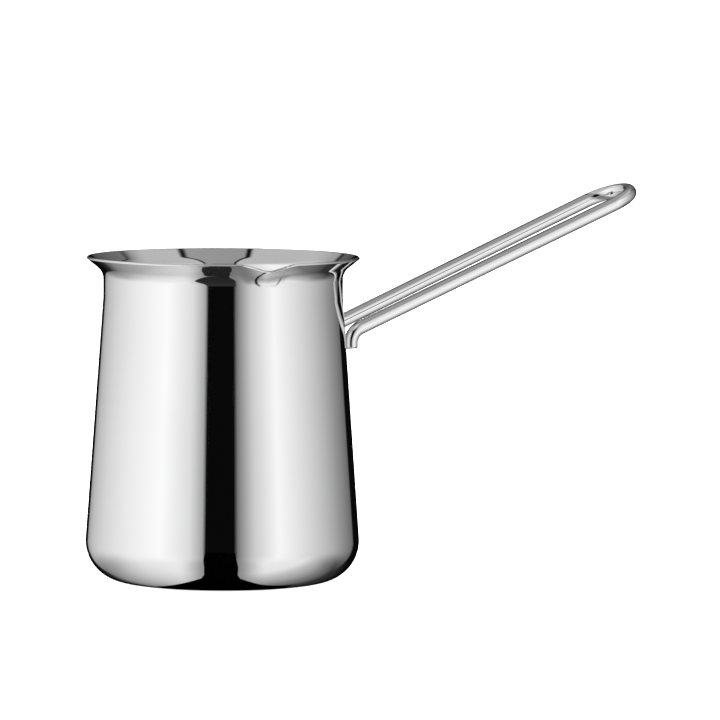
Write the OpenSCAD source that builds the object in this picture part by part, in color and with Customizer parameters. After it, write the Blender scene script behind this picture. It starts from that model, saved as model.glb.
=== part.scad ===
// Turkish coffee pot (cezve): a drawn steel pot with a flared rim and a pressed pouring lip,
// and a long loop handle bent from one round rod and welded to the back of the wall.
// Origin: on the pot's axis, on the plane it stands on. +Z is up, the handle points along +X
// and the pouring lip faces nearly -Y. Millimetres.

/* [Pot] */
// Greatest outside diameter of the body, just above the bottom corner
body_d = 82; // [76:0.5:90]
// Outside diameter of the neck, the narrowest place
neck_d = 71.6; // [68:0.2:74]
// Outside diameter of the flared rim
rim_d = 81.8; // [78:0.2:86]
// Height from the table to the top edge of the rim
pot_h = 97.3; // [90:0.1:110]
// Thickness of the steel sheet
sheet = 0.8; // [0.6:0.1:1.2]
// Outside radius of the rounded bottom corner
corner_r = 12; // [8:0.5:16]
// Lean of the wall inwards, in degrees from upright
wall_lean = 4.1; // [3.6:0.1:4.6]
// Outside radius of the soft blend between the wall and the neck
neck_blend_r = 20; // [15:1:30]
// Outside radius of the curve between the neck and the flare
flare_r = 4.6; // [3:0.2:6]
// Lean of the flare outwards, in degrees from upright
flare_lean = 51; // [45:1:58]

/* [Pouring lip] */
// Direction of the lip, in degrees from the handle, clockwise seen from above
lip_turn = 94; // [80:1:100]
// Width of the V-shaped dip that the lip makes in the rim, at its top edge
lip_w = 17.4; // [14:0.2:20]
// Depth of the dip at the lip's tip, below the rim's top edge
lip_drop = 2.4; // [1.5:0.1:3.5]
// Lean of the lip's floor outwards, in degrees from upright
lip_lean = 48; // [46:1:58]
// Half angle of the round cone that the lip is pressed over
lip_cone = 42; // [38:1:46]
// Height of the lip's lower end below the start of the flare
lip_foot = 0.5; // [0:0.1:2]

/* [Handle] */
// Diameter of the round rod
rod_d = 4.2; // [3:0.1:5]
// Rise of the handle above level, in degrees
handle_rise = 22.7; // [15:0.2:35]
// Distance between the centre lines of the two legs at the wall
leg_pitch = 17; // [14:0.5:24]
// Distance between the centre lines of the rods where the end loop starts
loop_pitch = 19; // [18:0.5:28]
// Length of each straight rod between its bend and the end loop
rod_l = 92.2; // [60:0.1:130]
// Radius of each bend, to the rod's centre line
bend_r = 5; // [3:0.1:8]
// Height of the legs' lower ends above the table
leg_z = 69.1; // [50:0.1:71]
// Straight length of each leg along the wall
leg_l = 1.2; // [1:0.1:4]
// Gap between the rod and the wall, filled by the weld
weld_gap = 0.2; // [0.1:0.1:0.6]
// Width of each weld across the leg
weld_w = 3.4; // [2:0.1:4]
// Height of each weld along the leg
weld_h = 3.2; // [2:0.1:4]

/* [Hidden] */

steel = "gainsboro";
arc_steps = 16;              // straight pieces in each round stretch of an outline
cut = 30;                    // room for cutters, past the pot on every side

body_r = body_d / 2;
neck_r = neck_d / 2;
rim_r = rim_d / 2;
rod_r = rod_d / 2;

// Outside outline: the flare ends at rim_r, one sheet thickness below the top edge's corner
rim_z = pot_h - sheet * sin(flare_lean);
flare_run = rim_r - neck_r - flare_r * (1 - cos(flare_lean));
flare_z = rim_z - flare_run / tan(flare_lean) - flare_r * sin(flare_lean);
corner_x = body_r - corner_r;
wall_x0 = corner_x + corner_r * cos(wall_lean);
wall_z0 = corner_r * (1 + sin(wall_lean));
wall_x1 = neck_r + neck_blend_r * (1 - cos(wall_lean));
blend_z = wall_z0 + (wall_x0 - wall_x1) / tan(wall_lean) + neck_blend_r * sin(wall_lean);

// Points of an arc about c, from angle a0 to a1
function arc(c, r, a0, a1) =
    [for (i = [0:arc_steps]) let (a = a0 + (a1 - a0) * i / arc_steps) c + r * [cos(a), sin(a)]];

// Unit vector along the flare, and the one square to it that points outwards and down
flare_dir = [sin(flare_lean), cos(flare_lean)];
flare_out = [cos(flare_lean), -sin(flare_lean)];

// The wall's outline from the floor to the rim, a depth d inside the outer surface, and past
// the rim's edge by the length extra
function wall_outline(d, extra = 0) = concat(
    [[0, d]],
    arc([corner_x, corner_r], corner_r - d, -90, wall_lean),
    arc([neck_r + neck_blend_r, blend_z], neck_blend_r + d, 180 + wall_lean, 180),
    arc([neck_r + flare_r, flare_z], flare_r + d, 180, 180 - flare_lean),
    [[rim_r, rim_z] - d * flare_out + extra * flare_dir]);

// The rim is cut square to the flare, and this is a point on that cut a little way inside it
rim_corner = [rim_r, rim_z] - (sheet + 1) * flare_out;

// Outside radius of the straight wall at height z
function wall_r(z) = wall_x0 - (z - wall_z0) * tan(wall_lean);

// The lip's floor runs out from the neck at lip_lean, and the cone's axis leans by the rest
lip_z = flare_z - lip_foot;
lip_axis_lean = lip_lean - lip_cone;
lip_cone_h = 14;
lip_dir = -lip_turn;

// A cone with its point a depth d above the lip's lower end, measured square to its surface
module lip_cone_solid(d) {
    rotate([0, 0, lip_dir])
        translate([neck_r - sheet / 2, 0, lip_z])
            rotate([0, lip_axis_lean, 0])
                translate([0, 0, d / sin(lip_cone)])
                    cylinder(h = lip_cone_h, r1 = 0, r2 = lip_cone_h * tan(lip_cone), $fn = 96);
}

// Cuts the V-shaped notch in the rim over the lip
module lip_notch() {
    top = pot_h + cut;
    rise = lip_drop * 2 / lip_w;
    half = lip_w / 2;
    rotate([0, 0, lip_dir])
        translate([neck_r, 0, 0])
            rotate([90, 0, 90])
                linear_extrude(height = cut)
                    polygon([[0, pot_h - lip_drop], [half, pot_h], [half + (top - pot_h) / rise, top],
                             [-half - (top - pot_h) / rise, top], [-half, pot_h]]);
}

module pot_body() {
    color(steel)
        difference() {
            union() {
                rotate_extrude($fn = 180)
                    polygon(concat(wall_outline(0), [rim_corner, [0, rim_corner.y]]));
                intersection() {
                    lip_cone_solid(0);
                    cylinder(h = pot_h, r = body_r + cut, $fn = 96);
                }
            }
            rotate_extrude($fn = 180)
                polygon(concat(wall_outline(sheet, cut), [[0, pot_h + cut]]));
            lip_cone_solid(sheet);
            lip_notch();
        }
}

// The handle's centre line in the upright plane of one leg. The legs' planes spread apart from
// the wall to the loop, so each is turned by spread about its own leg.
leg_mid_z = leg_z + leg_l / 2;
leg_reach = wall_r(leg_mid_z) + weld_gap + rod_r / cos(wall_lean);
leg_x = sqrt(pow(leg_reach, 2) - pow(leg_pitch / 2, 2)) + leg_l / 2 * sin(wall_lean);
bend_turn = 90 + wall_lean - handle_rise;
bend_x = leg_l * sin(wall_lean);
bend_z = leg_l * cos(wall_lean);
bend_out_x = -bend_x + bend_r * (cos(wall_lean) - sin(handle_rise));
bend_out_z = bend_z + bend_r * (cos(handle_rise) + sin(wall_lean));
span = bend_out_x + rod_l * cos(handle_rise);
spread = asin((loop_pitch - leg_pitch) / 2 / span);
rod_spread = asin(cos(handle_rise) * sin(spread));
loop_r = loop_pitch / 2 / cos(rod_spread);
loop_rise = atan2(sin(handle_rise), cos(handle_rise) * cos(spread));
loop_x = leg_x + span * cos(spread) + loop_r * sin(rod_spread) * cos(loop_rise);
loop_z = leg_z + bend_out_z + rod_l * sin(handle_rise) + loop_r * sin(rod_spread) * sin(loop_rise);

// The rod's stretches stop short of each other by slit, and a collar a hair wider than the rod
// bridges each joint, so that the whole rod is one solid
slit = 0.05;
collar_l = 0.4;
collar_r = rod_r + 0.05;

// Places its children in the frame of one leg: side 1 is the far leg, -1 the near one
module at_leg(side) {
    translate([leg_x, side * leg_pitch / 2, leg_z])
        rotate([0, 0, side * spread])
            children();
}

// A straight stretch of rod from the origin up, with a collar at its foot and maybe at its top
module straight_rod(l, foot, top) {
    translate([0, 0, foot ? slit : 0])
        cylinder(h = l - (foot ? slit : 0) - (top ? slit : 0), r = rod_r, $fn = 48);
    for (z = [if (foot) 0, if (top) l])
        translate([0, 0, z - collar_l / 2])
            cylinder(h = collar_l, r = collar_r, $fn = 48);
}

// A bent stretch of rod in the XY plane, from the X axis round by the angle turn
module bent_rod(r, turn) {
    rotate_extrude(angle = turn, $fn = 96)
        translate([r, 0])
            circle(r = rod_r, $fn = 48);
}

// One leg with its bend and its straight rod, in that leg's own frame
module half_rod() {
    rotate([0, -wall_lean, 0])
        straight_rod(leg_l, false, true);
    translate([bend_r * cos(wall_lean) - bend_x, 0, bend_z + bend_r * sin(wall_lean)])
        rotate([90, 0, 0])
            rotate([0, 0, 180 + wall_lean - bend_turn])
                bent_rod(bend_r, bend_turn);
    translate([bend_out_x, 0, bend_out_z])
        rotate([0, 90 - handle_rise, 0])
            straight_rod(rod_l, true, true);
}

module handle_rod() {
    color(steel) {
        for (side = [-1, 1])
            at_leg(side) half_rod();
        translate([loop_x, 0, loop_z])
            rotate([0, -loop_rise, 0])
                rotate([0, 0, -90 - rod_spread])
                    bent_rod(loop_r, 180 + 2 * rod_spread);
    }
}

// Weld metal between one leg and the wall: it follows the wall's surface and the rod's
module weld(side) {
    leg_angle = asin(side * leg_pitch / 2 / leg_reach);
    color(steel)
        difference() {
            rotate([0, 0, leg_angle])
                translate([wall_r(leg_mid_z) - sheet / 2, -weld_w / 2, leg_z])
                    cube([rod_r, weld_w, weld_h]);
            rotate_extrude($fn = 180)
                polygon(concat(wall_outline(0), [[0, rim_z]]));
            at_leg(side) half_rod();
        }
}

module weld_near() weld(-1);

module weld_far() weld(1);

pot_body();
handle_rod();
weld_near();
weld_far();
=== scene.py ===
"""Turkish coffee pot (cezve) of polished steel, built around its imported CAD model.

Metres, +Z up. The pot's axis is the Z axis, the handle points along +X and the pouring lip faces
nearly -Y.
"""

import math

import bpy
import numpy as np
from mathutils import Euler, Matrix, Vector


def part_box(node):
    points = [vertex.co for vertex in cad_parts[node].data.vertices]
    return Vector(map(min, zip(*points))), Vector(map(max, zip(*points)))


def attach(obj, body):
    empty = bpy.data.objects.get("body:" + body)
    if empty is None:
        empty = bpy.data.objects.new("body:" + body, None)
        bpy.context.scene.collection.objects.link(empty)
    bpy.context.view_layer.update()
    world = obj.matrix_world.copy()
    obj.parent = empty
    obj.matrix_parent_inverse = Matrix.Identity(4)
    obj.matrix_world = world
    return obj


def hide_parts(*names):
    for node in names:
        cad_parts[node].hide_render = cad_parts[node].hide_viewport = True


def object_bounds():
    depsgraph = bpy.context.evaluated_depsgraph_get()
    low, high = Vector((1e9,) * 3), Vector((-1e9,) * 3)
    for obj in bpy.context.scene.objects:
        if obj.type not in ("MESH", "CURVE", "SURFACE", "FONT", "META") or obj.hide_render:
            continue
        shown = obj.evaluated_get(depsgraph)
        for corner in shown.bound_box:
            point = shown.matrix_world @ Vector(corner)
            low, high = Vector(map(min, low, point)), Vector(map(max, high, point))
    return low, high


MM = 0.001

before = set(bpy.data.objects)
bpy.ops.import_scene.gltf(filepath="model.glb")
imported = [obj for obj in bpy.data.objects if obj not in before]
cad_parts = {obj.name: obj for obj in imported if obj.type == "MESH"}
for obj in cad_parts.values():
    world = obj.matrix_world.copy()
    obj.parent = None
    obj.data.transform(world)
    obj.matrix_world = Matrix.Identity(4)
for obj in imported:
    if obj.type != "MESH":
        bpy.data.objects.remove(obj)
cad_low, cad_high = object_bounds()
_, pot_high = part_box("pot_body")

# ---------------------------------------------------------------- sizes of the pot, as in the CAD source
SHEET = 0.8 * MM
BODY_R = pot_high.y
POT_H = pot_high.z
NECK_R = 35.8 * MM
RIM_R = 40.9 * MM
CORNER_R = 12 * MM
WALL_LEAN = math.radians(4.1)
NECK_BLEND_R = 20 * MM
FLARE_R = 4.6 * MM
FLARE_LEAN = math.radians(51)

RIM_Z = POT_H - SHEET * math.sin(FLARE_LEAN)
FLARE_RUN = RIM_R - NECK_R - FLARE_R * (1 - math.cos(FLARE_LEAN))
FLARE_Z = RIM_Z - FLARE_RUN / math.tan(FLARE_LEAN) - FLARE_R * math.sin(FLARE_LEAN)
CORNER_X = BODY_R - CORNER_R
WALL_X0 = CORNER_X + CORNER_R * math.cos(WALL_LEAN)
WALL_Z0 = CORNER_R * (1 + math.sin(WALL_LEAN))
WALL_X1 = NECK_R + NECK_BLEND_R * (1 - math.cos(WALL_LEAN))
BLEND_Z = WALL_Z0 + (WALL_X0 - WALL_X1) / math.tan(WALL_LEAN) + NECK_BLEND_R * math.sin(WALL_LEAN)

# The pouring lip: a V-shaped dip in the rim, and below it a wide fold pressed out of the flare
LIP_TURN = math.radians(-94)
LIP_W = 15.4 * MM
LIP_DROP = 2.4 * MM
LIP_FOOT_Z = FLARE_Z - 0.2 * MM
LIP_TIP_H = 5.2 * MM
LIP_FOLD = 1.3 * MM
LIP_FOLD_W = 7.5 * MM
LIP_HALF_ANGLE = math.radians(18)
LIP_COLUMNS, OTHER_COLUMNS = 144, 432

# The shallow scoop in the fold. Each half's width, as a share of SCOOP_W, follows the share of the
# lip's height. Its middle line starts to one side and ends at the lip's tip.
SCOOP_DEPTH = 0.22 * MM
SCOOP_EDGE = 0.8 * MM
SCOOP_W = 3.9 * MM
SCOOP_SHIFT = 1.0 * MM
SCOOP_LEFT = {0: 0.3, 0.08: 0.7, 0.2: 0.92, 0.4: 1.0, 0.6: 0.85, 0.8: 0.5, 1.0: 0.1}
SCOOP_RIGHT = {0: 0.3, 0.08: 0.65, 0.2: 0.8, 0.4: 0.95, 1.0: 1.25}

# How far the rim's crowned edge stands above the sheet's end
EDGE_ROUND = 0.16 * MM

# The pot's materials, in the order of its slots
OUTSIDE, EDGE, INSIDE, BASE = range(4)

# ---------------------------------------------------------------- sizes of the handle
ROD_R = 2.1 * MM
RISE = math.radians(22.7)
LEG_PITCH = 17 * MM
LOOP_PITCH = 19 * MM
ROD_L = 92.2 * MM
BEND_R = 5 * MM
LEG_Z = 69.1 * MM
LEG_L = 1.2 * MM
WELD_GAP = 0.2 * MM
ROD_CHAMFER = 0.35 * MM
ROD_SIDES = 48
WELD_W = 3.4 * MM
WELD_H = 3.2 * MM
WELD_END = 0.15 * MM
WELD_INTO_WALL = 0.12 * MM
WELD_INTO_ROD = 0.1 * MM
WELD_HOLLOW = 0.15 * MM

# The rod's materials, in the order of its slots
ROD_SIDE, ROD_END = range(2)


def wall_r(z):
    """Outside radius of the straight wall at height z."""
    return WALL_X0 - (z - WALL_Z0) * math.tan(WALL_LEAN)


LEG_REACH = wall_r(LEG_Z + LEG_L / 2) + WELD_GAP + ROD_R / math.cos(WALL_LEAN)
LEG_X = math.sqrt(LEG_REACH**2 - (LEG_PITCH / 2) ** 2) + LEG_L / 2 * math.sin(WALL_LEAN)


# ---------------------------------------------------------------- mesh helpers
def new_piece(name, vertices, faces, material_of_face, materials, node):
    """A smooth mesh object that stands for one CAD node, which it hides, with a slot for each of its
    materials.
    """
    mesh = bpy.data.meshes.new(name)
    mesh.from_pydata([tuple(v) for v in vertices], [], faces)
    for material in materials:
        mesh.materials.append(material)
    mesh.polygons.foreach_set("material_index", material_of_face)
    mesh.polygons.foreach_set("use_smooth", [True] * len(faces))
    mesh.validate()
    mesh.update()
    piece = bpy.data.objects.new(name, mesh)
    bpy.context.scene.collection.objects.link(piece)
    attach(piece, "root")
    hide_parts(node)
    return piece


def band_faces(rings, around):
    """Quads between closed rings of vertices that follow each other in the vertex list."""
    faces = []
    for ring in range(rings - 1):
        low, high = ring * around, (ring + 1) * around
        for j in range(around):
            k = (j + 1) % around
            faces.append((low + j, low + k, high + k, high + j))
    return faces


def fan_faces(centre, first, around, outward):
    """Triangles from a centre vertex to one ring, in the ring's own direction or the other one."""
    faces = [(centre, first + j, first + (j + 1) % around) for j in range(around)]
    return faces if outward else [face[::-1] for face in faces]


def arc(centre, radius, start, end, steps):
    """Points of an arc in a plane, both ends included."""
    angles = np.linspace(start, end, steps + 1)
    return np.stack([centre[0] + radius * np.cos(angles), centre[1] + radius * np.sin(angles)], 1)


def line(start, end, steps):
    """Points along a straight line, both ends left out."""
    share = np.linspace(0, 1, steps + 1)[1:-1, None]
    return np.array(start) * (1 - share) + np.array(end) * share


# ---------------------------------------------------------------- the pot
def wall_outline(depth, fine=1):
    """The wall's outline from the bottom corner's foot to the rim, a depth inside the outer surface."""
    blend_centre = (NECK_R + NECK_BLEND_R, BLEND_Z)
    flare_centre = (NECK_R + FLARE_R, FLARE_Z)
    half_turn = math.pi
    corner = arc((CORNER_X, CORNER_R), CORNER_R - depth, -math.pi / 2, WALL_LEAN, 24 * fine)
    blend = arc(blend_centre, NECK_BLEND_R + depth, half_turn + WALL_LEAN, half_turn, 5 * fine)
    flare = arc(flare_centre, FLARE_R + depth, half_turn, half_turn - FLARE_LEAN, 14 * fine)
    rim = np.array([[RIM_R - depth * math.cos(FLARE_LEAN), RIM_Z + depth * math.sin(FLARE_LEAN)]])
    return np.concatenate(
        [
            corner,
            line(corner[-1], blend[0], 18 * fine),
            blend,
            line(blend[-1], flare[0], 8 * fine),
            flare,
            line(flare[-1], rim[0], 12 * fine),
            rim,
        ]
    )


def angles_around():
    """Angles of the pot's columns of vertices, closer together at the lip."""
    lip = np.linspace(-LIP_HALF_ANGLE, LIP_HALF_ANGLE, LIP_COLUMNS + 1)
    rest = np.linspace(LIP_HALF_ANGLE, 2 * math.pi - LIP_HALF_ANGLE, OTHER_COLUMNS + 1)[1:-1]
    return np.concatenate([lip, rest])


def rim_dip(from_lip):
    """How far the rim lies below its full height, at an angle from the lip's middle."""
    tip_softness, shoulder_softness = 0.10, 0.16
    behind_pot = 2.0
    across = np.abs(RIM_R * np.sin(from_lip)) / (LIP_W / 2)
    across = np.where(np.cos(from_lip) > 0, across, behind_pot)
    depth = 1 - np.sqrt(across**2 + tip_softness**2)
    blended = (depth + np.sqrt(depth**2 + shoulder_softness**2)) / 2
    left_over = (math.sqrt(1 + shoulder_softness**2) - 1) / 2
    return LIP_DROP * np.maximum(blended - left_over, 0)


def smooth_step(share):
    """A soft step from 0 to 1 as share goes from 0 to 1."""
    share = np.clip(share, 0, 1)
    return share * share * (3 - 2 * share)


def fold_push(height, side):
    """The wide fold: a soft ridge that grows with height, side being the distance from its middle."""
    softness, foot_width, rise = 0.1, 0.6, 1.2
    across = side / (LIP_FOLD_W * (foot_width + (1 - foot_width) * height))
    ridge = 1 + softness - np.sqrt(across**2 + softness**2)
    ridge = (ridge + np.sqrt(ridge**2 + softness**2)) / 2
    return LIP_FOLD * smooth_step(height * rise) * ridge * (1 - smooth_step(across - 1))


def scoop_push(height, from_middle):
    """The shallow scoop with a soft edge, from_middle being negative on its left half."""
    left_half = SCOOP_W * np.interp(height, list(SCOOP_LEFT), list(SCOOP_LEFT.values()))
    right_half = SCOOP_W * np.interp(height, list(SCOOP_RIGHT), list(SCOOP_RIGHT.values()))
    off_line = from_middle - SCOOP_SHIFT * (1 - np.minimum(height, 1) ** 2)
    half = np.where(off_line < 0, left_half, right_half)
    inside = 1 - smooth_step((np.abs(off_line) - half) / SCOOP_EDGE + 0.5)
    foot_fade = 0.1
    return SCOOP_DEPTH * inside * smooth_step(height / foot_fade)


def lip_push(z, from_lip):
    """How far the lip pushes the wall outwards, at height z and an angle from the lip's middle."""
    height = np.maximum(z - LIP_FOOT_Z, 0) / LIP_TIP_H
    from_middle = NECK_R * np.sin(from_lip)
    return fold_push(height, np.abs(from_middle)) + scoop_push(height, from_middle)


def pot_surface(depth, around):
    """Radii and heights of the outer surface (depth 0) or the inner one (depth SHEET), floor to rim.

    Above the neck, the rows are squeezed to end at the dipped rim, and keep to the flare's outline.
    """
    rows, dense = wall_outline(depth), wall_outline(depth, 12)
    top = rows[-1, 1]
    z = np.repeat(rows[:, 1:2], len(around), 1)
    edge = top - rim_dip(around) - EDGE_ROUND * math.cos(FLARE_LEAN)
    above = rows[:, 1] > FLARE_Z + 1e-9
    z[above] = FLARE_Z + (z[above] - FLARE_Z) * (edge - FLARE_Z) / (top - FLARE_Z)
    r = np.repeat(rows[:, 0:1], len(around), 1)
    upper = dense[dense[:, 1] > BLEND_Z]
    r[above] = np.interp(z[above], upper[:, 1], upper[:, 0])
    facing = np.cos(around) > math.cos(LIP_HALF_ANGLE)
    r[:, facing] += lip_push(z[:, facing], around[facing])
    return r, z


def pot_points(r, z, around):
    """Points at radius r and height z, with the lip turned to its place."""
    turned = around + LIP_TURN
    return np.stack([r * np.cos(turned), r * np.sin(turned), z], -1)


def rim_rows(outer, inner):
    """A crowned edge from the outer surface's last row to the inner one's."""
    ahead = outer[-1] - outer[-2]
    ahead /= np.linalg.norm(ahead, axis=1)[:, None]
    power = 3
    rows = []
    for share in (0.04, 0.13, 0.3, 0.5, 0.7, 0.87, 0.96):
        crown = (1 - abs(2 * share - 1) ** power) ** (1 / power)
        rows.append(outer[-1] * (1 - share) + inner[-1] * share + ahead * EDGE_ROUND * crown)
    return np.array(rows)


def floor_rows(z, around):
    """Rings of a flat floor, from near its middle outwards."""
    radii = [np.full(len(around), CORNER_X * share) for share in (0.25, 0.5, 0.75, 0.9)]
    return np.array([pot_points(radius, z, around) for radius in radii])


def make_pot(outside, edge, inside, base):
    """The pot as one closed mesh: floor, wall and rim outside, then wall and floor inside."""
    around = angles_around()
    columns = len(around)
    outer = pot_points(*pot_surface(0, around), around)
    inner = pot_points(*pot_surface(SHEET, around), around)
    floor_out = floor_rows(np.zeros(columns), around)
    floor_in = floor_rows(np.full(columns, SHEET), around)
    crown = rim_rows(outer, inner)
    rows = np.concatenate([floor_out, outer, crown, inner[::-1], floor_in[::-1]])
    count = len(rows)
    vertices = [*rows.reshape(-1, 3), (0, 0, 0), (0, 0, SHEET)]
    bands = [BASE] * len(floor_out) + [OUTSIDE] * (len(outer) - 1) + [EDGE] * (len(crown) + 1)
    bands += [INSIDE] * (count - 1 - len(bands))
    faces = band_faces(count, columns)
    faces += fan_faces(count * columns, 0, columns, False)
    faces += fan_faces(count * columns + 1, (count - 1) * columns, columns, True)
    kinds = [kind for kind in [*bands, BASE, INSIDE] for _ in range(columns)]
    materials = [outside, edge, inside, base]
    new_piece("cezve_pot", vertices, faces, kinds, materials, "pot_body")


# ---------------------------------------------------------------- the handle
def leg_centre_line(side):
    """One leg, its bend and its straight rod, from the leg's lower end up to the loop.

    Also gives the rod's upper end in the leg's own plane, and the angle by which the rods spread.
    """
    bend_turn = math.pi / 2 + WALL_LEAN - RISE
    bend_x, bend_z = LEG_L * math.sin(WALL_LEAN), LEG_L * math.cos(WALL_LEAN)
    centre = (BEND_R * math.cos(WALL_LEAN) - bend_x, bend_z + BEND_R * math.sin(WALL_LEAN))
    start = math.pi + WALL_LEAN
    bend = arc(centre, BEND_R, start, start - bend_turn, 22)
    end = bend[-1] + ROD_L * np.array([math.cos(RISE), math.sin(RISE)])
    flat = np.concatenate([[[0, 0]], line((0, 0), bend[0], 4), bend, line(bend[-1], end, 44)])
    spread = math.asin((LOOP_PITCH - LEG_PITCH) / 2 / end[0])
    turned = side * spread
    x = LEG_X + flat[:, 0] * math.cos(turned)
    y = side * LEG_PITCH / 2 + flat[:, 0] * math.sin(turned)
    return np.stack([x, y, LEG_Z + flat[:, 1]], 1), end, spread


def handle_centre_line():
    """The whole rod: near leg, round the loop, far leg."""
    near, end, spread = leg_centre_line(-1)
    far, _, _ = leg_centre_line(1)
    rod_spread = math.asin(math.cos(RISE) * math.sin(spread))
    loop_r = LOOP_PITCH / 2 / math.cos(rod_spread)
    rise = math.atan2(math.sin(RISE), math.cos(RISE) * math.cos(spread))
    x = LEG_X + end[0] * math.cos(spread) + loop_r * math.sin(rod_spread) * math.cos(rise)
    z = LEG_Z + end[1] + loop_r * math.sin(rod_spread) * math.sin(rise)
    loop = arc((0, 0), loop_r, -math.pi / 2 - rod_spread, math.pi / 2 + rod_spread, 80)
    out, across = loop[:, 0], loop[:, 1]
    turn = np.stack([x + out * math.cos(rise), across, z + out * math.sin(rise)], 1)
    return np.concatenate([near, turn, far[::-1]])


def sweep_rings(path, radius_at, sides):
    """Rings of a round tube along a path, turned as little as possible from one to the next."""
    ahead = np.gradient(path, axis=0)
    ahead /= np.linalg.norm(ahead, axis=1)[:, None]
    across = np.cross(ahead[0], [0.0, 1.0, 0.0])
    angles = np.linspace(0, 2 * math.pi, sides, endpoint=False)[:, None]
    cosines, sines = np.cos(angles), np.sin(angles)
    rings = []
    for point, direction, radius in zip(path, ahead, radius_at):
        across = across - direction * across.dot(direction)
        across /= np.linalg.norm(across)
        other = np.cross(direction, across)
        rings.append(point + radius * (cosines * across + sines * other))
    return np.array(rings)


def make_handle(steel, cut_end):
    """The rod as one closed tube with chamfered ends."""
    path = handle_centre_line()
    first = (path[1] - path[0]) / np.linalg.norm(path[1] - path[0])
    last = (path[-2] - path[-1]) / np.linalg.norm(path[-2] - path[-1])
    steps = [0.0, 0.12, 0.4, 1.0]
    start = [path[0] + first * ROD_CHAMFER * s for s in steps]
    finish = [path[-1] + last * ROD_CHAMFER * s for s in reversed(steps)]
    path = np.concatenate([start, path[1:-1], finish])
    shrink = [ROD_CHAMFER * (1 - math.sqrt(1 - (1 - s) ** 2)) for s in steps]
    radius_at = np.full(len(path), ROD_R)
    radius_at[: len(steps)] -= shrink
    radius_at[-len(steps) :] -= shrink[::-1]
    rings = sweep_rings(path, radius_at, ROD_SIDES)
    count = len(rings)
    vertices = [*rings.reshape(-1, 3), path[0], path[-1]]
    faces = [face[::-1] for face in band_faces(count, ROD_SIDES)]
    kinds = [ROD_SIDE] * len(faces) + [ROD_END] * (2 * ROD_SIDES)
    faces += fan_faces(count * ROD_SIDES, 0, ROD_SIDES, True)
    faces += fan_faces(count * ROD_SIDES + 1, (count - 1) * ROD_SIDES, ROD_SIDES, False)
    piece = new_piece("handle_loop", vertices, faces, kinds, [steel, cut_end], "handle_rod")
    add_length_map(piece, path)


def add_length_map(piece, path):
    """A UV map in metres: how far along the rod, and how far round it."""
    lengths = np.concatenate([[0], np.cumsum(np.linalg.norm(np.diff(path, axis=0), axis=1))])
    layer = piece.data.uv_layers.new(name="length")
    perimeter = 2 * math.pi * ROD_R
    for polygon in piece.data.polygons:
        columns = [vertex % ROD_SIDES for vertex in polygon.vertices]
        wraps = max(columns) == ROD_SIDES - 1 and min(columns) == 0
        for loop_index, vertex, column in zip(polygon.loop_indices, polygon.vertices, columns):
            ring = min(vertex // ROD_SIDES, len(lengths) - 1)
            turn = (column + ROD_SIDES if wraps and column == 0 else column) / ROD_SIDES
            layer.data[loop_index].uv = (lengths[ring], turn * perimeter)


# ---------------------------------------------------------------- the welds
def leg_reach(z):
    """How far out the leg's centre line is at height z, its bend included."""
    straight = LEG_REACH - (z - LEG_Z - LEG_L / 2) * math.tan(WALL_LEAN)
    into_bend = max(z - LEG_Z - LEG_L, 0.0)
    return straight + (BEND_R - math.sqrt(BEND_R**2 - into_bend**2))


def weld_ring(z, share, per_side):
    """The bead's cross-section at height z, as (outward, sideways) points round it."""
    ripples, ripple_depth = 7, 0.05
    end_width, waist_width = 0.25, 0.86
    end = math.sqrt(max(1 - (2 * share - 1) ** 4, 0.0)) * (1 - end_width) + end_width
    half = WELD_W / 2 * end * (1 + ripple_depth * math.sin(share * 2 * math.pi * ripples))
    grip = ROD_R * (0.42 + 0.2 * end)
    foot = np.array([math.sqrt(wall_r(z) ** 2 - half**2) - WELD_INTO_WALL, half])
    top = np.array([leg_reach(z) - math.sqrt(ROD_R**2 - grip**2) + WELD_INTO_ROD, grip])
    waist = np.array([(foot[0] + top[0]) / 2 - WELD_HOLLOW, min(half, grip) * waist_width])
    along = np.linspace(0, 1, per_side)[:, None]
    curve = foot * (1 - along) ** 2 + waist * 2 * along * (1 - along) + top * along**2
    return np.concatenate([curve, (curve * [1, -1])[::-1]])


def make_weld(name, side, steel, node):
    """A rippled bead that fills the gap between a leg and the wall, hollowed along both sides."""
    leg_angle = math.asin(side * LEG_PITCH / 2 / LEG_REACH)
    rows, per_side = 41, 12
    vertices = []
    for i in range(rows):
        share = i / (rows - 1)
        z = LEG_Z + WELD_END + share * (WELD_H - 2 * WELD_END)
        for out, across in weld_ring(z, share, per_side):
            x = out * math.cos(leg_angle) - across * math.sin(leg_angle)
            y = out * math.sin(leg_angle) + across * math.cos(leg_angle)
            vertices.append((x, y, z))
    around = 2 * per_side
    faces = band_faces(rows, around)
    faces += [tuple(range(around))[::-1], tuple(range((rows - 1) * around, rows * around))]
    new_piece(name, vertices, faces, [0] * len(faces), [steel], node)


# ---------------------------------------------------------------- materials
def grey_color(grey):
    """An opaque neutral colour."""
    return (grey, grey, grey, 1)


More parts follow.
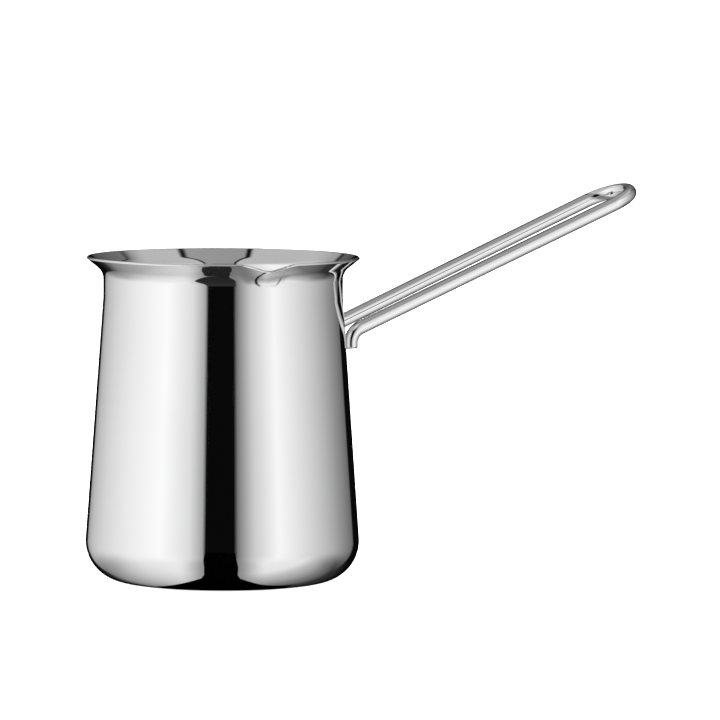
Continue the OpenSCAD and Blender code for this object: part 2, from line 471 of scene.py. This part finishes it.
class Nodes:
    """A short way to build one material's node tree."""

    def __init__(self, name, metallic=1.0, color=(0.8, 0.8, 0.8), roughness=0.05):
        self.material = bpy.data.materials.new(name)
        self.material.use_nodes = True
        self.tree = self.material.node_tree
        self.shader = self.tree.nodes["Principled BSDF"]
        self.shader.inputs["Metallic"].default_value = metallic
        self.shader.inputs["Base Color"].default_value = (*color, 1)
        self.shader.inputs["Roughness"].default_value = roughness

    def node(self, kind, inputs=(), **settings):
        """A new node with its settings, and with values or links for its inputs."""
        made = self.tree.nodes.new(kind)
        for key, value in settings.items():
            setattr(made, key, value)
        for key, value in dict(inputs).items():
            self.put(made, key, value)
        return made

    def put(self, node, key, value):
        """Link an output to an input, or set the input to a plain value."""
        socket = node.inputs[key]
        if isinstance(value, bpy.types.NodeSocket):
            self.tree.links.new(value, socket)
        else:
            socket.default_value = value

    def place(self, stretch=(1, 1, 1), turn=(0, 0, 0), uv=None):
        """Coordinates in metres, stretched and turned."""
        if uv:
            source = self.node("ShaderNodeUVMap", uv_map=uv).outputs["UV"]
        else:
            source = self.node("ShaderNodeTexCoord").outputs["Object"]
        inputs = {"Vector": source, "Scale": stretch, "Rotation": turn}
        return self.node("ShaderNodeMapping", inputs).outputs["Vector"]

    def axes(self, vector):
        """The X, Y and Z of a vector."""
        parts = self.node("ShaderNodeSeparateXYZ", {"Vector": vector})
        return [parts.outputs[axis] for axis in "XYZ"]

    def noise(self, place, scale, detail=2.0, rough=0.5, distort=0.0):
        inputs = {"Vector": place, "Scale": scale, "Detail": detail}
        inputs |= {"Roughness": rough, "Distortion": distort}
        return self.node("ShaderNodeTexNoise", inputs).outputs["Fac"]

    def map(self, value, low, high, to_low, to_high, smooth=False):
        """A value's range low to high, carried over to to_low to to_high."""
        inputs = {"Value": value, "From Min": low, "From Max": high, "To Min": to_low, "To Max": to_high}
        kind = "SMOOTHSTEP" if smooth else "LINEAR"
        return self.node("ShaderNodeMapRange", inputs, interpolation_type=kind).outputs["Result"]

    def math(self, operation, a, b=0.0):
        return self.node("ShaderNodeMath", {0: a, 1: b}, operation=operation).outputs["Value"]

    def mix(self, share, a, b):
        """Colour a where share is 0, and b where it is 1."""
        share_at, a_at, b_at, result_at = 0, 6, 7, 2
        inputs = {share_at: share, a_at: a, b_at: b}
        return self.node("ShaderNodeMix", inputs, data_type="RGBA").outputs[result_at]

    def bump(self, height, distance, normal=None):
        inputs = {"Height": height, "Distance": distance, "Strength": 1.0}
        if normal:
            inputs["Normal"] = normal
        return self.node("ShaderNodeBump", inputs).outputs["Normal"]

    def finish(self, roughness=None, color=None, normal=None):
        """The material, with what varies over its surface linked to its shader."""
        for key, value in (("Roughness", roughness), ("Base Color", color), ("Normal", normal)):
            if value is not None:
                self.tree.links.new(value, self.shader.inputs[key])
        return self.material

    def clear_from_below(self):
        """Show the surface only from the side that it faces, and nothing from the other."""
        clear = self.node("ShaderNodeBsdfTransparent").outputs[0]
        under = self.node("ShaderNodeNewGeometry").outputs["Backfacing"]
        mixed = self.node("ShaderNodeMixShader", {0: under, 1: self.shader.outputs[0], 2: clear})
        self.put(self.tree.nodes["Material Output"], "Surface", mixed.outputs[0])


def hairlines(n, turns, scale):
    """Sparse fine scratches in a few directions, as a share from 0 to 1."""
    total = None
    for turn in turns:
        place = n.place((1, 1, 0.02), turn)
        lines = n.map(n.noise(place, scale, 1.0), 0.66, 0.74, 0, 1)
        total = lines if total is None else n.math("MAXIMUM", total, lines)
    return total


def polished_steel():
    """Mirror-polished sheet: a faint waviness from the drawing, wiped smears and hairline scratches."""
    n = Nodes("polished_steel", color=(0.82, 0.82, 0.825))
    smears = n.map(n.noise(n.place((1, 1, 0.35)), 45, 4, 0.6, 0.4), 0.35, 0.75, 0.030, 0.060, True)
    lines = hairlines(n, ((0.3, 0.2, 0), (1.2, 0.4, 0.5), (2.2, 0.1, 1.1)), 900)
    rough = n.math("ADD", smears, n.math("MULTIPLY", lines, 0.03))
    clouds = n.noise(n.place(), 30, 3)
    tone = n.mix(clouds, (0.80, 0.80, 0.805, 1), (0.84, 0.84, 0.845, 1))
    waves = n.bump(n.noise(n.place((1, 1, 0.3)), 55, 1), 0.012 * MM)
    return n.finish(rough, tone, n.bump(lines, -0.0006 * MM, waves))


def spun_steel(name, color, low, high):
    """Steel brushed in rings round the pot's axis, its roughness between low and high."""
    n = Nodes(name, color=color)
    along_groove = 0.004
    x, y, z = n.axes(n.place())
    radius = n.math("SQRT", n.math("ADD", n.math("MULTIPLY", x, x), n.math("MULTIPLY", y, y)))
    safe_radius = n.math("MAXIMUM", radius, 1 * MM)
    ring = n.node(
        "ShaderNodeCombineXYZ",
        {
            "X": n.math("MULTIPLY", n.math("DIVIDE", x, safe_radius), along_groove),
            "Y": n.math("MULTIPLY", n.math("DIVIDE", y, safe_radius), along_groove),
            "Z": n.math("ADD", radius, z),
        },
    ).outputs["Vector"]
    grooves = n.noise(ring, 3200, 3, 0.7)
    patches = n.noise(n.place(), 60, 3)
    base_rough = n.map(grooves, 0.3, 0.7, low, high)
    rough = n.math("ADD", base_rough, n.map(patches, 0.3, 0.7, -0.02, 0.02))
    darker = [c * 0.95 for c in color]
    lighter = [min(c * 1.04, 1) for c in color]
    tone = n.mix(grooves, (*darker, 1), (*lighter, 1))
    return n.finish(rough, tone, n.bump(grooves, 0.0025 * MM))


def rod_steel():
    """Polished rod with fine drawing lines along its length."""
    n = Nodes("rod_steel", color=(0.8, 0.8, 0.805))
    lengthwise = n.noise(n.place((0.03, 1, 1), uv="length"), 2600, 3, 0.7)
    smears = n.noise(n.place(), 90, 3, 0.6)
    drawn = n.map(lengthwise, 0.3, 0.7, 0.03, 0.08)
    rough = n.math("ADD", drawn, n.map(smears, 0.35, 0.7, 0, 0.03))
    tone = n.mix(smears, (0.78, 0.78, 0.785, 1), (0.83, 0.83, 0.835, 1))
    waves = n.bump(n.noise(n.place(), 120, 1), 0.006 * MM)
    return n.finish(rough, tone, n.bump(lengthwise, 0.0012 * MM, waves))


def sawn_steel():
    """The rod's cut end, faced with a file."""
    n = Nodes("cut_end", color=(0.7, 0.7, 0.7))
    strokes = n.noise(n.place((1, 0.05, 0.3)), 4000, 2, 0.6)
    return n.finish(n.map(strokes, 0.3, 0.7, 0.2, 0.4), None, n.bump(strokes, 0.01 * MM))


def weld_steel():
    """Dressed weld metal, a little dull, with a faint straw heat tint."""
    n = Nodes("weld_metal", color=(0.62, 0.61, 0.6))
    grain = n.noise(n.place(), 1500, 4, 0.6)
    patches = n.noise(n.place(), 400, 2)
    tinted = n.map(patches, 0.4, 0.65, 0, 1, True)
    tone = n.mix(tinted, (0.66, 0.655, 0.65, 1), (0.60, 0.54, 0.45, 1))
    return n.finish(n.map(grain, 0.3, 0.7, 0.2, 0.42), tone, n.bump(grain, 0.02 * MM))


# ---------------------------------------------------------------- studio
# The way the camera looks, as a turn about Z. In the studio, a turn of 0 faces the camera, and positive
# turns go to the picture's right.
CAMERA_TURN = math.radians(-24)
CAMERA_REACH = 2.0
CAMERA_H = 0.2207
STEEL_SHARE = 0.82
BLACK = (0, 0, 0, 1)

# The tent's greys, from 0 to 255 as the wall shows them, at each turn in degrees. Low down, the tent
# ends at a dark gap behind the pot. Higher up, it runs on to the rear panel.
TENT_LEFT = {-156: 150, -144: 184, -120: 212, -90: 234, -54: 251, -28: 219, -15.9: 160}
TENT_RIGHT = {13: 120, 27: 203, 49: 247, 90: 198, 120: 145, 138: 112, 143: 100}
FRONT_GAP = {-15: 8, 10.5: 8}
REAR_GAP_LEFT = {-180: 8, -158: 8}
REAR_GAP_RIGHT = {145: 8, 180: 8}
HIGH_END_LEFT = {-158: 150}
HIGH_END_RIGHT = {146: 95}

# Black seams beside the rear panel, as a share of light at each turn
SEAM_LEFT = {-180: 1, -159: 1, -158: 0.03, -156.5: 0.03, -155.5: 1}
SEAM_RIGHT = {144: 1, 145: 0.03, 146.5: 0.03, 147.5: 1, 180: 1}

# The rear panel's greys by the height of the direction's unit vector
REAR_PANEL = {0.16: 55, 0.35: 88, 0.6: 112, 0.85: 138, 1: 150}

# The roof's greys by the sideways part of the direction: a dimmer strip between two dark borders
ROOF_LEFT = {-1: 185, -0.19: 186, -0.175: 15, -0.155: 15}
ROOF_STRIP = {-0.14: 150, 0.23: 155}
ROOF_RIGHT = {0.245: 15, 0.265: 15, 0.28: 188, 1: 180}

# The floor's greys by how far towards the camera a falling direction lands, in units of its fall
# Where a direction lands under the pot, these greys fall towards black: a painted shadow of the pot on the
# floor.
FLOOR_LEFT = {-3: 0, -2: 50, -1.3: 133, -0.8: 163, -0.5: 186, 0: 215, 0.4: 229, 3: 246}
FLOOR_RIGHT = {-3: 0, -1.2: 50, -0.6: 122, -0.3: 160, 0: 187, 0.4: 228, 3: 246}
FLOOR_SHADE = (0.25, 0.25, 0.25, 1)


def level(value):
    """The light that the steel needs to show as this grey, from 0 to 255, on the screen."""
    return ((value / 255 + 0.055) / 1.055) ** 2.4 / STEEL_SHARE


def ramp(n, place, stops, low, high, light=level):
    """A grey that follows the stops, a level for each place between low and high."""
    made = n.node("ShaderNodeValToRGB", {"Fac": n.map(place, low, high, 0, 1)})
    elements = made.color_ramp.elements
    while len(elements) < len(stops):
        elements.new(0.5)
    for element, (where, grey) in zip(elements, stops.items()):
        element.position = (where - low) / (high - low)
        element.color = grey_color(light(grey))
    return made.outputs["Color"]


class WorldNodes(Nodes):
    """The same helpers for the world's node tree."""

    def __init__(self, world):
        world.use_nodes = True
        self.tree = world.node_tree
        self.tree.nodes.clear()


def tent_sides(n, turn, up):
    """The tent's walls low down, and higher up the same walls with a rear panel between two seams."""
    walls = TENT_LEFT | FRONT_GAP | TENT_RIGHT
    low = ramp(n, turn, REAR_GAP_LEFT | walls | REAR_GAP_RIGHT, -180, 180)
    high = ramp(n, turn, HIGH_END_LEFT | walls | HIGH_END_RIGHT, -180, 180)
    off_centre = 6
    from_front = n.math("ABSOLUTE", n.math("ADD", turn, off_centre))
    rear = n.map(from_front, 150, 152, 0, 1)
    high = n.mix(rear, high, ramp(n, up, REAR_PANEL, 0, 1))
    high = n.mix(ramp(n, turn, SEAM_LEFT | SEAM_RIGHT, -180, 180, float), BLACK, high)
    return n.mix(n.map(up, 0.16, 0.24, 0, 1, True), low, high)


def tent_floor(n, side, front, up):
    """The floor as the steel sees it: darker behind and under the pot, a painted shadow of the pot on the
    floor, and in a wedge towards the camera.
    """
    least_fall, wedge_slope = 0.2, 0.2
    fall = n.math("MAXIMUM", n.math("MULTIPLY", up, -1.0), least_fall)
    ahead = n.math("DIVIDE", front, fall)
    left = ramp(n, ahead, FLOOR_LEFT, -3, 3)
    right = ramp(n, ahead, FLOOR_RIGHT, -3, 3)
    floor = n.mix(n.map(side, -0.1, 0.1, 0, 1, True), left, right)
    wedge = n.math("MULTIPLY", n.math("ADD", front, 1.0), wedge_slope)
    sideways = n.math("DIVIDE", n.math("ABSOLUTE", side), wedge)
    return n.mix(n.map(sideways, 0.4, 1.8, 0, 1, True), FLOOR_SHADE, floor)


def studio_world():
    """A light tent: a white panel on each side, a dark opening at the camera and a dark gap behind."""
    world = bpy.data.worlds.new("light_tent")
    bpy.context.scene.world = world
    n = WorldNodes(world)
    direction = n.node("ShaderNodeTexCoord").outputs["Generated"]
    turned = n.node("ShaderNodeMapping", {"Vector": direction, "Rotation": (0, 0, -CAMERA_TURN)})
    side, back, up = n.axes(turned.outputs["Vector"])
    front = n.math("MULTIPLY", back, -1.0)
    turn = n.math("DEGREES", n.math("ARCTAN2", side, front))
    roof = ramp(n, side, ROOF_LEFT | ROOF_STRIP | ROOF_RIGHT, -1, 1)
    tent = n.mix(n.map(up, 0.6, 0.8, 0, 1, True), tent_sides(n, turn, up), roof)
    tent = n.mix(n.map(up, -0.2, -0.6, 0, 1, True), tent, tent_floor(n, side, front, up))
    lit = n.node("ShaderNodeBackground", {"Color": tent, "Strength": 1.0})
    seen = n.node("ShaderNodeBackground", {"Color": (1, 1, 1, 1), "Strength": 1.05})
    camera_ray = n.node("ShaderNodeLightPath").outputs["Is Camera Ray"]
    mixed = n.node("ShaderNodeMixShader", {0: camera_ray, 1: lit.outputs[0], 2: seen.outputs[0]})
    n.node("ShaderNodeOutputWorld", {"Surface": mixed.outputs[0]})


def stage_object(name, points, faces, material, height):
    """A flat object of the studio, at a height, which isn't part of the pot."""
    mesh = bpy.data.meshes.new(name)
    mesh.from_pydata(points, [], faces)
    mesh.materials.append(material)
    made = bpy.data.objects.new(name, mesh)
    bpy.context.scene.collection.objects.link(made)
    made.location.z = height
    return made


def studio_floor():
    """A wide white floor that the pot stands on. From below it is clear, so that the base can be seen."""
    half = 6.0
    n = Nodes("floor_white", metallic=0.0, color=(0.9, 0.9, 0.9), roughness=0.9)
    n.shader.inputs["Emission Color"].default_value = (1, 1, 1, 1)
    n.shader.inputs["Emission Strength"].default_value = 0.9
    speckle = n.noise(n.place(), 8, 2)
    n.finish(color=n.mix(speckle, grey_color(0.90), grey_color(0.92)))
    n.clear_from_below()
    corners = [(-half, -half, 0), (half, -half, 0), (half, half, 0), (-half, half, 0)]
    height = cad_low.z - 0.05 * MM
    floor = stage_object("studio_floor", corners, [(0, 1, 2, 3)], n.material, height)
    floor.visible_glossy = False


def dark_cloth(name, left, right, height, grey, shine):
    """A dark cloth before the pot, seen only in the steel and only from above.

    Its left and right edges are points in millimetres, to the picture's right and towards the camera.
    """
    n = Nodes(name + "_cloth", metallic=0.0, color=(grey, grey, grey), roughness=0.9)
    n.shader.inputs["Specular IOR Level"].default_value = shine
    weave = n.noise(n.place(), 900, 2)
    n.finish(color=n.mix(weave, grey_color(grey * 0.7), grey_color(grey * 1.3)))
    n.clear_from_below()
    outline = [(side * MM, -front * MM, 0) for side, front in left + right[::-1]]
    count, last = len(left), len(outline) - 1
    strips = [(i, i + 1, last - i - 1, last - i) for i in range(count - 1)]
    cloth = stage_object(name, outline, strips, n.material, height)
    cloth.rotation_euler.z = CAMERA_TURN
    cloth.visible_camera = False
    cloth.visible_diffuse = False
    cloth.visible_shadow = False
    cloth.visible_transmission = False


def floor_cloth():
    """The cloth on the floor, which the bottom corner shows."""
    left = [(-20, 26), (-13, 33), (-7, 38.5), (-6.5, 41), (-8, 48), (-12, 62), (-72, 300)]
    right = [(22, 26), (12, 33), (6, 38.5), (5.5, 41), (7, 48), (9, 62), (53, 300)]
    dark_cloth("floor_cloth", left, right, cad_low.z - 0.1 * MM, 0.0003, 0.0)


def raised_cloth():
    """The wider cloth above the floor, which the flare shows."""
    left = [(-15, 40), (-22, 51), (-27, 60), (-54, 107), (-72, 252), (-136, 513)]
    right = [(6, 42), (7, 51), (9, 60), (24, 113), (52, 252), (110, 513)]
    dark_cloth("raised_cloth", left, right, 14 * MM, 0.003, 0.5)


def soft_light(name, place, size, power):
    """A large square lamp aimed at the pot. It lights the floor, and the steel reflects the tent instead."""
    light = bpy.data.lights.new(name, "AREA")
    light.size = size
    light.energy = power
    lamp = bpy.data.objects.new(name, light)
    bpy.context.scene.collection.objects.link(lamp)
    lamp.location = place
    pot_middle = Vector((0, 0, 0.05))
    lamp.rotation_euler = (pot_middle - Vector(place)).to_track_quat("-Z", "Y").to_euler()
    lamp.visible_glossy = False
    lamp.visible_camera = False


def studio_camera():
    """A long lens, 2 m away and slightly above the pot, with no shift and everything in focus."""
    pitch, pan, roll = (math.radians(angle) for angle in (85.584, 1.174, 0.265))
    camera = bpy.data.objects.new("camera", bpy.data.cameras.new("camera"))
    bpy.context.scene.collection.objects.link(camera)
    camera.location = (
        CAMERA_REACH * math.sin(CAMERA_TURN),
        -CAMERA_REACH * math.cos(CAMERA_TURN),
        CAMERA_H,
    )
    aim = Euler((pitch, 0, CAMERA_TURN - pan)).to_matrix()
    camera.rotation_euler = (aim @ Matrix.Rotation(roll, 3, "Z")).to_euler()
    camera.data.sensor_width = 36
    camera.data.lens = 335.4
    bpy.context.scene.camera = camera


# ---------------------------------------------------------------- build
inside_steel = spun_steel("spun_inside", (0.78, 0.78, 0.785), 0.02, 0.05)
base_steel = spun_steel("spun_base", (0.7, 0.7, 0.7), 0.16, 0.3)
edge_steel = spun_steel("rim_edge", (0.88, 0.88, 0.88), 0.15, 0.28)
weld_metal = weld_steel()

make_pot(polished_steel(), edge_steel, inside_steel, base_steel)
make_handle(rod_steel(), sawn_steel())
make_weld("weld_bead_near", -1, weld_metal, "weld_near")
make_weld("weld_bead_far", 1, weld_metal, "weld_far")

bpy.context.scene.view_settings.view_transform = "Standard"
studio_world()
studio_floor()
floor_cloth()
raised_cloth()
soft_light("soft_top", (0, 0, 1.6), 1.8, 60)
soft_light("soft_left", (-1.4, -0.8, 1.0), 1.2, 25)
soft_light("soft_right", (1.4, -1.2, 1.0), 1.2, 25)
studio_camera()
